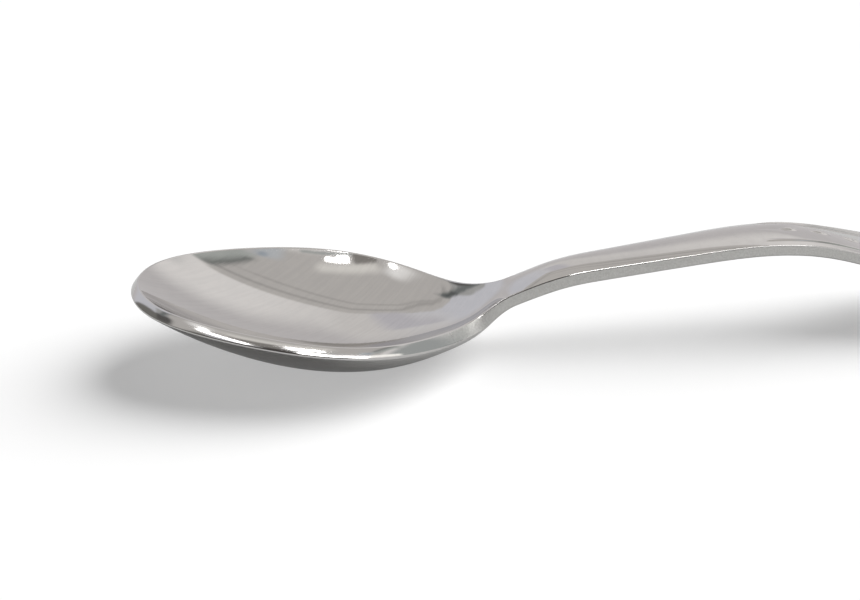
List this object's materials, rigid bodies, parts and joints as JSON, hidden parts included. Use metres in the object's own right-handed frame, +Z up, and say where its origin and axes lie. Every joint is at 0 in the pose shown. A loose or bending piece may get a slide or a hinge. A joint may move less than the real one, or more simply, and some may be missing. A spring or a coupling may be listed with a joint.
{
  "type": "teaspoon",
  "caption": "Polished stainless-steel teaspoon with an egg-shaped bowl, a slim rising stem and a spatula-shaped handle with shallow relief ornament.",
  "frame": {"origin": "on the table under the centre of the spoon's bounding box, with the spoon lying on its bowl and its handle's end", "axes": "+X along the spoon from the bowl's tip to the handle's end, +Y across it, +Z up"},
  "size_m": [0.1362, 0.034, 0.0152],
  "materials": {
    "polished_steel": "mirror-polished stainless steel, unplated, satin on the cut edges"
  },
  "bodies": {
    "root": {"bowl": "polished_steel", "neck": "polished_steel", "stem": "polished_steel", "handle": "polished_steel"}
  },
  "joints": []
}
